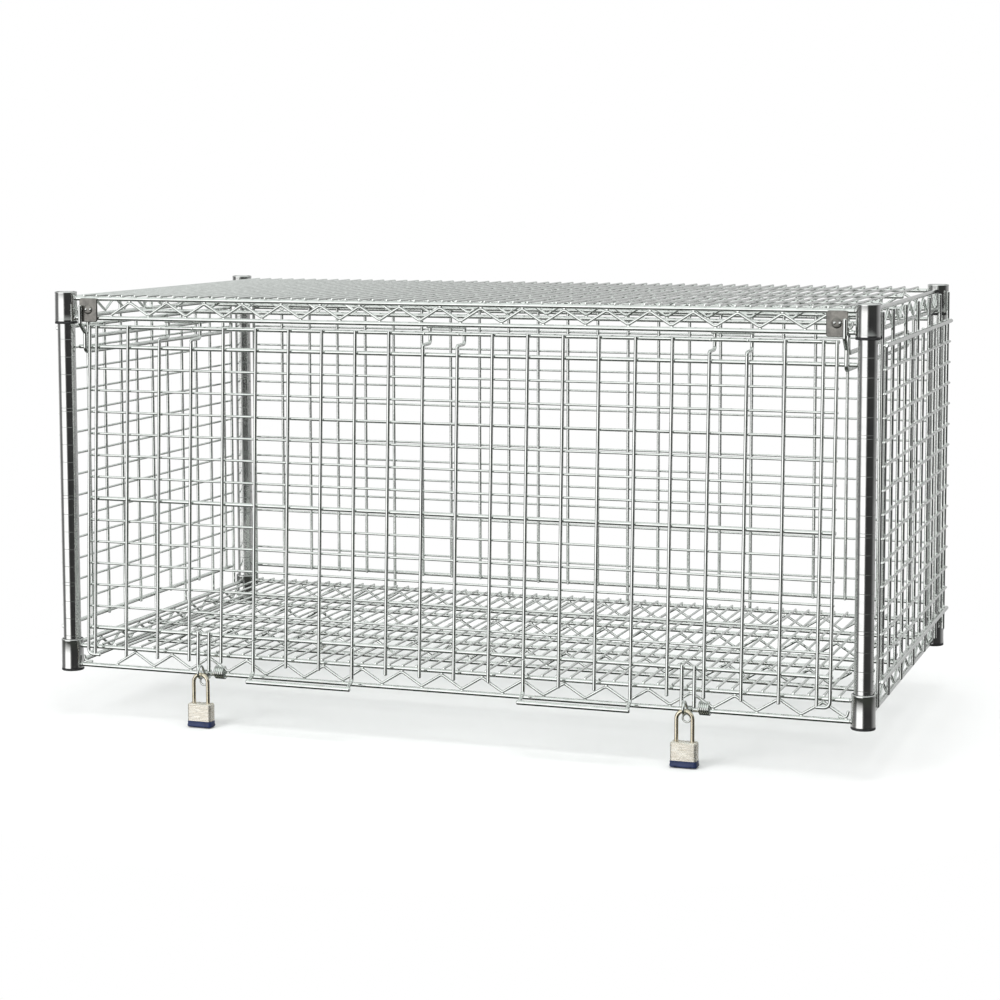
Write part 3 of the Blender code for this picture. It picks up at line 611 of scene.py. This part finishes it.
def make_handles():
    for name, pair in HANDLES.items():
        left, right = (door_x(place) for place in pair)
        handle = Shape(12)
        front, foot, toe = HANDLE_FRONT, HANDLE_FOOT, HANDLE_FOOT + 1.5 * MM
        for x in (left, right):
            leg = [(x, DOOR_WIRE_Y, HANDLE_START), (x, DOOR_WIRE_Y, foot + 9 * MM),
                   (x, front + 1 * MM, toe)]
            handle.wire(fillet(leg, 9 * MM, 8), HANDLE_LEG)
            handle.weld((x, front, toe), (3.4 * MM, 2.4 * MM, 2.4 * MM), rows=4, turns=10)
        grip = (left - OVERHANG, 0.5 * (left + right), right + OVERHANG)
        handle.wire([(x, front, foot) for x in grip], HANDLE_GRIP, sides=16)
        handle.finish(f"door_grip_{name}", "chrome_wire", "door", [f"door_handle_{name}"], DOOR_PLACE)


def make_pivot_rod():
    rod = Shape(14)
    low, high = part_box("door_pivot_rod")
    y, z = PIVOT.y, PIVOT.z
    rod.wire([(low.x, y, z), (0, y, z), (high.x, y, z)], THICK_ROW)
    rod.finish("pivot_wire", "chrome_wire", "door_carriage", ["door_pivot_rod"])


# ---------------------------------------------------------------- tracks and brackets


def make_tracks():
    """Wires that hang from the truss, pass under the rod, run back and return above it."""
    near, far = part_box("track_right")
    track_x = (near.x + far.x) / 2
    stem, rear_end = near.y + TRACK_WIRE, far.y - TRACK_WIRE
    reach = THICK_ROW + ROD_GAP + TRACK_WIRE
    low = PIVOT.z - reach
    bend = (TRACK_HIGH_RUN - low) / 2
    front = -POST_Y + 14 * MM
    for side, sign in SIDES.items():
        x = sign * track_x
        path = [(x, stem, TRACK_STEM_TOP), (x, stem, TRACK_STEM_FOOT), (x, PIVOT.y - reach, TRACK_MOUTH)]
        path += [(x, PIVOT.y + reach * math.cos(turn), PIVOT.z + reach * math.sin(turn))
                 for turn in arc(180, 15, 7)]
        path += [(x, rear_end - bend + bend * math.cos(turn), low + bend + bend * math.sin(turn))
                 for turn in arc(-90, 22.5, 9)]
        path += [(x, front + 6 * MM, TRACK_HIGH_RUN), (x, front, TRACK_HIGH_RUN + 6 * MM),
                 (x, front, TRACK_FRONT_TOP)]
        track = Shape(12)
        track.wire(fillet(path, TRACK_BEND, 3), TRACK_WIRE)
        track.finish(f"track_wire_{side}", "chrome_wire", "root", [f"track_{side}"])


def make_brackets():
    """A plate with a domed disc on it; the two small bright chrome dots on the disc are painted highlights.
    """
    for side in SIDES:
        low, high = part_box(f"track_bracket_{side}")
        middle, size = (low + high) / 2, high - low
        front = low.y + 1.0 * MM
        thickness = high.y - front
        bracket, highlight_dots = Shape(), Shape()
        bracket.stacked((0, 0, 0), [
            (0, size.x - 1 * MM, size.z - 1 * MM, 3 * MM), (0.5 * MM, size.x, size.z, BRACKET_CORNER),
            (thickness - 0.8 * MM, size.x, size.z, BRACKET_CORNER),
            (thickness, size.x - 1.6 * MM, size.z - 1.6 * MM, 3 * MM)])
        upright = Matrix.Translation((middle.x, high.y, middle.z)) @ Matrix.Rotation(math.pi / 2, 4, "X")
        bracket.points = [upright @ point for point in bracket.points]
        forward, height = (0, -1, 0), middle.z + RIVET_RISE
        bracket.dome((middle.x, front, height), forward, RIVET_HEAD, RIVET_HEIGHT)
        # Painted highlights: two small bright chrome domes set into the dark steel disc.
        for dot in HIGHLIGHT_DOT_PLACES:
            highlight_dots.dome((middle.x + dot, front - 0.7 * MM, height), forward, HIGHLIGHT_DOT_RADIUS, RIVET_HEIGHT)
        highlight_dots.finish(f"bracket_rivets_{side}", "chrome_post", "root")
        bracket.finish(f"bracket_plate_{side}", "chrome_post", "root", [f"track_bracket_{side}"],
                       material="bracket_steel")


# ---------------------------------------------------------------- hasps and padlocks


def make_hasp(side, lock_x, lock_y):
    hasp = Shape(12)
    rail_y, rail_z = -POST_Y, SHELVES["bottom"] + LOW_RAIL
    for rib in range(-3, 4):
        x, radius = lock_x + rib * SADDLE_PITCH, SADDLE_RADII[rib % 2]
        hasp.wire([(x, rail_y + radius * math.cos(turn), rail_z + radius * math.sin(turn))
                   for turn in arc(40, -22, 13)], SADDLE_WIRE)
    shoe_z = rail_z - SADDLE_SHOE_DROP
    hasp.wire([(lock_x - 5.5 * MM, rail_y, shoe_z), (lock_x + 5.5 * MM, rail_y, shoe_z)], SADDLE_SHOE)
    post_y = rail_y - SADDLE_POST_OUT
    hasp.wire([(lock_x, post_y, rail_z - 5 * MM), (lock_x, post_y, rail_z + 7 * MM)], SADDLE_POST)
    coil = []
    for step in range(COIL_STEPS):
        turn = 2 * math.pi * step / COIL_STEPS_PER_TURN
        coil.append((lock_x + COIL_START + step * COIL_ADVANCE, rail_y + COIL_RADIUS * math.cos(turn),
                     rail_z + COIL_RISE + COIL_RADIUS * math.sin(turn)))
    hasp.wire(coil, COIL_WIRE)
    ring_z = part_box(f"hasp_ring_{side}")[1].z - RING_RADIUS - RING_WIRE
    hasp.wire([(lock_x, lock_y + RING_RADIUS * math.cos(turn), ring_z + RING_RADIUS * math.sin(turn))
               for turn in full_turn(28)], RING_WIRE, closed=True)
    eye_x = lock_x + EYE_SHIFT
    hasp.wire([(eye_x + EYE_RADIUS * math.cos(turn), EYE_Y, EYE_Z + EYE_RADIUS * math.sin(turn))
               for turn in full_turn(24)], EYE_WIRE, closed=True)
    hasp.finish(f"hasp_clamp_{side}", "chrome_wire", "root", [f"hasp_ring_{side}"])


def make_shackle(side, x, y, top, half, seat):
    """A bent rod: a long leg on the left and a short one that ends inside the body.

    Top is where the rod hangs on its ring and seat is the top of the body.
    """
    shackle = Shape(18)
    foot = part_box(f"padlock_{side}_shackle")[0].z
    path = [(x - half, y, foot), (x - half, y, top - half)]
    path += [(x - half * math.cos(turn), y, top - half + half * math.sin(turn))
             for turn in (math.pi * k / 18 for k in range(1, 18))]
    path += [(x + half, y, top - half), (x + half, y, seat - SHACKLE_DEPTH)]
    shackle.wire(path, SHACKLE_WIRE)
    shackle.finish(f"lock_shackle_{side}", "shackle_steel", f"padlock_{side}_shackle",
                   [f"padlock_{side}_shackle"])


def make_lock_body(side, x, y, half, low, high):
    """Stacked steel plates, held by four pins, with a collar round each shackle leg."""
    body = Shape()
    width, depth = high.x - low.x, high.y - low.y
    thickness = (high.z - low.z) / PLATE_COUNT
    for n in range(PLATE_COUNT):
        base = low.z + n * thickness
        edge = PLATE_EDGE if n < PLATE_COUNT - 1 else LAST_PLATE_EDGE
        wide, deep = width - (n % 3) * PLATE_STEP, depth - (n % 2) * PLATE_STEP
        body.stacked((x, y, 0), [
            (base + 0.05 * MM, wide - 2 * PLATE_EDGE, deep - 2 * PLATE_EDGE, 3.2 * MM),
            (base + 0.35 * MM, wide, deep, PLATE_CORNER),
            (base + thickness - edge, wide, deep, PLATE_CORNER),
            (base + thickness, wide - 2 * edge, deep - 2 * edge, 3.2 * MM)])
    for step in (-1, 1):
        for row in (-1, 1):
            body.dome((x + step * PIN_X, y + row * PIN_Y, high.z - 0.1 * MM), (0, 0, 1),
                      PIN_RADIUS, PIN_HEIGHT)
        body.turned((x + step * half, y, high.z - 0.2 * MM), outline(LEG_COLLAR_OUTLINE), 24, closed=True)
    body.finish(f"lock_plates_{side}", "lock_steel", f"padlock_{side}_case", [f"padlock_{side}_body"])


def make_bumper(side, x, y):
    bumper = Shape()
    low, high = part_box(f"padlock_{side}_bumper")
    wide, deep, tall = high - low
    bumper.stacked((x, y, low.z), [
        (0, wide - 5 * MM, deep - 5 * MM, 2.5 * MM), (0.4 * MM, wide - 2.2 * MM, deep - 2.2 * MM, 3.4 * MM),
        (1.6 * MM, wide - 0.2 * MM, deep - 0.2 * MM, 4.2 * MM), (2.6 * MM, wide, deep, 4.3 * MM),
        (tall * 0.6, wide - 1.3 * MM, deep - 1.3 * MM, 4 * MM),
        (tall - 0.8 * MM, wide - 0.9 * MM, deep - 0.9 * MM, 4 * MM),
        (tall, wide - 2.2 * MM, deep - 2.2 * MM, 3.6 * MM)])
    bumper.finish(f"lock_bumper_{side}", "blue_plastic", f"padlock_{side}_case", [f"padlock_{side}_bumper"])


def make_padlock(side):
    x, y, top = Vector(JOINTS[f"padlock_{side}_swing"]["pos_m"])
    low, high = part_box(f"padlock_{side}_shackle")
    half = (high.x - low.x) / 2 - SHACKLE_WIRE
    body_low, body_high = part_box(f"padlock_{side}_body")
    make_shackle(side, x, y, top, half, body_high.z)
    make_lock_body(side, x, y, half, body_low, body_high)
    make_bumper(side, x, y)
    make_hasp(side, x, y)


# ---------------------------------------------------------------- stage, light and camera

CAMERA_PLACE = Vector((1.1113, -3.2299, 0.7070))
CAMERA_YAW, CAMERA_PITCH, CAMERA_ROLL = (math.radians(a) for a in (-19.305, 5.385, -0.128))
CAMERA_LENS, CAMERA_SENSOR, CAMERA_SHIFT, CAMERA_CLIP = 83.48, 36, -0.1, (0.05, 50)
FLOOR_GAP, FLOOR_RADIUS, FLOOR_STEPS, FLOOR_FADE = 1 * MM, 3.0, 96, (0.45, 0.95)


def make_camera():
    yaw, pitch, roll = CAMERA_YAW, CAMERA_PITCH, CAMERA_ROLL
    forward = Vector((math.sin(yaw) * math.cos(pitch), math.cos(yaw) * math.cos(pitch), -math.sin(pitch)))
    level = Vector((math.cos(yaw), -math.sin(yaw), 0))
    rise = level.cross(forward)
    right = level * math.cos(roll) + rise * math.sin(roll)
    up = rise * math.cos(roll) - level * math.sin(roll)
    data = bpy.data.cameras.new("camera")
    data.lens, data.sensor_width, data.shift_y = CAMERA_LENS, CAMERA_SENSOR, CAMERA_SHIFT
    data.clip_start, data.clip_end = CAMERA_CLIP
    camera = bpy.data.objects.new("camera", data)
    turn = Matrix((right, up, -forward)).transposed()
    camera.matrix_world = Matrix.Translation(CAMERA_PLACE) @ turn.to_4x4()
    bpy.context.scene.collection.objects.link(camera)
    bpy.context.scene.camera = camera


def make_floor():
    """A pale disc just under the padlocks that fades out and doesn't show in reflections."""
    level = CAD_BOX[0][2] - FLOOR_GAP
    points = [(FLOOR_RADIUS * math.cos(turn), FLOOR_RADIUS * math.sin(turn), level)
              for turn in full_turn(FLOOR_STEPS)]
    mesh = bpy.data.meshes.new("floor")
    mesh.from_pydata(points, [], [tuple(range(FLOOR_STEPS))])
    material = bpy.data.materials.new("floor")
    material.use_nodes = True
    tree = material.node_tree
    shader = tree.nodes["Principled BSDF"]
    place = node(tree, "ShaderNodeTexCoord").outputs["Object"]
    tree.links.new(ramp(tree, noise(tree, place, 3), [(0.3, grey(0.80)), (0.7, grey(0.83))]),
                   shader.inputs["Base Color"])
    distance = node(tree, "ShaderNodeVectorMath", operation="LENGTH")
    tree.links.new(place, distance.inputs[0])
    fade = ramp(tree, distance.outputs["Value"], [(FLOOR_FADE[0], grey(1)), (FLOOR_FADE[1], grey(0))])
    unseen = node(tree, "ShaderNodeMath", operation="SUBTRACT")
    unseen.inputs[0].default_value = 1.0
    tree.links.new(node(tree, "ShaderNodeLightPath").outputs["Is Glossy Ray"], unseen.inputs[1])
    alpha = node(tree, "ShaderNodeMath", operation="MULTIPLY")
    tree.links.new(fade, alpha.inputs[0])
    tree.links.new(unseen.outputs["Value"], alpha.inputs[1])
    tree.links.new(alpha.outputs["Value"], shader.inputs["Alpha"])
    shader.inputs["Roughness"].default_value = 0.8
    mesh.materials.append(material)
    piece = bpy.data.objects.new("floor", mesh)
    bpy.context.scene.collection.objects.link(piece)


def make_light(name, place, aim, width, height, power):
    data = bpy.data.lights.new(name, "AREA")
    data.shape, data.size, data.size_y, data.energy = "RECTANGLE", width, height, power
    light = bpy.data.objects.new(name, data)
    light.visible_glossy = False
    light.location = place
    light.rotation_euler = (Vector(aim) - Vector(place)).to_track_quat("-Z", "Y").to_euler()
    bpy.context.scene.collection.objects.link(light)


# Brightness of the studio all round, as (share of a full turn, brightness). The middle of the
# list lies towards the camera, and the turn runs clockwise seen from above.
STUDIO = [(0.0, 0.55), (0.12, 0.50), (0.22, 0.30), (0.31, 0.05), (0.50, 0.04), (0.53, 0.16),
          (0.56, 1.50), (0.69, 1.40), (0.73, 0.22), (0.81, 0.18), (0.90, 0.70), (1.0, 0.60)]
STUDIO_FACING = math.radians(-70.7)
SKY, SKY_ANGLES = (0.88, 0.92, 0.90), (9, 28)
DARK, DARK_ANGLES = (0.05, 0.055, 0.048), (-12, -26)


def blend_by_height(tree, height, colour, angles, beyond):
    """Turns colour into the colour beyond as the direction rises or falls through two angles."""
    share = node(tree, "ShaderNodeMapRange")
    share.inputs["From Min"].default_value = math.sin(math.radians(angles[0]))
    share.inputs["From Max"].default_value = math.sin(math.radians(angles[1]))
    tree.links.new(height, share.inputs["Value"])
    mixed = node(tree, "ShaderNodeMix", data_type="RGBA")
    tree.links.new(share.outputs["Result"], mixed.inputs["Factor"])
    tree.links.new(colour, mixed.inputs["A"])
    mixed.inputs["B"].default_value = (*beyond, 1)
    return mixed.outputs["Result"]


def make_studio():
    """White to the camera, and dark and bright by turns in the reflections."""
    world = bpy.data.worlds.new("studio")
    bpy.context.scene.world = world
    world.use_nodes = True
    tree = world.node_tree
    back = tree.nodes["Background"]
    place = node(tree, "ShaderNodeTexCoord").outputs["Generated"]
    turned = node(tree, "ShaderNodeMapping", vector_type="TEXTURE")
    turned.inputs["Rotation"].default_value = (0, 0, STUDIO_FACING)
    tree.links.new(place, turned.inputs["Vector"])
    parts = node(tree, "ShaderNodeSeparateXYZ")
    tree.links.new(turned.outputs["Vector"], parts.inputs["Vector"])
    angle = node(tree, "ShaderNodeMath", operation="ARCTAN2")
    flip = node(tree, "ShaderNodeMath", operation="MULTIPLY")
    flip.inputs[1].default_value = -1.0
    tree.links.new(parts.outputs["Y"], flip.inputs[0])
    tree.links.new(flip.outputs["Value"], angle.inputs[0])
    tree.links.new(parts.outputs["X"], angle.inputs[1])
    share = node(tree, "ShaderNodeMapRange")
    share.inputs["From Min"].default_value = -math.pi
    share.inputs["From Max"].default_value = math.pi
    tree.links.new(angle.outputs["Value"], share.inputs["Value"])
    around = ramp(tree, share.outputs["Result"], [(p, grey(v)) for p, v in STUDIO])
    above = blend_by_height(tree, parts.outputs["Z"], around, SKY_ANGLES, SKY)
    over = blend_by_height(tree, parts.outputs["Z"], above, DARK_ANGLES, DARK)
    seen = node(tree, "ShaderNodeLightPath")
    shown = node(tree, "ShaderNodeMix", data_type="RGBA")
    shown.inputs["B"].default_value = (1, 1, 1, 1)
    tree.links.new(seen.outputs["Is Camera Ray"], shown.inputs["Factor"])
    tree.links.new(over, shown.inputs["A"])
    tree.links.new(shown.outputs["Result"], back.inputs["Color"])


def make_stage():
    make_camera()
    make_floor()
    make_studio()
    make_light("softbox_left", (-1.4, -3.2, 2.2), (0, 0, 0.25), 1.6, 1.6, 60)
    make_light("softbox_top", (0.3, -0.2, 3.0), (0, 0, 0), 2.4, 2.0, 75)
    bpy.context.scene.view_settings.view_transform = "Standard"


# ---------------------------------------------------------------- everything

make_posts()
for shelf_name, shelf_base in SHELVES.items():
    make_shelf(shelf_name, shelf_base)
make_panels()
make_door_mesh()
make_fingers()
make_handles()
make_pivot_rod()
make_tracks()
make_brackets()
for lock_side in SIDES:
    make_padlock(lock_side)
    cylinder = frame["nodes"][f"padlock_{lock_side}_key_cylinder"]
    cylinder.data.materials.clear()
    cylinder.data.materials.append(MATERIALS["brass"])
make_stage()
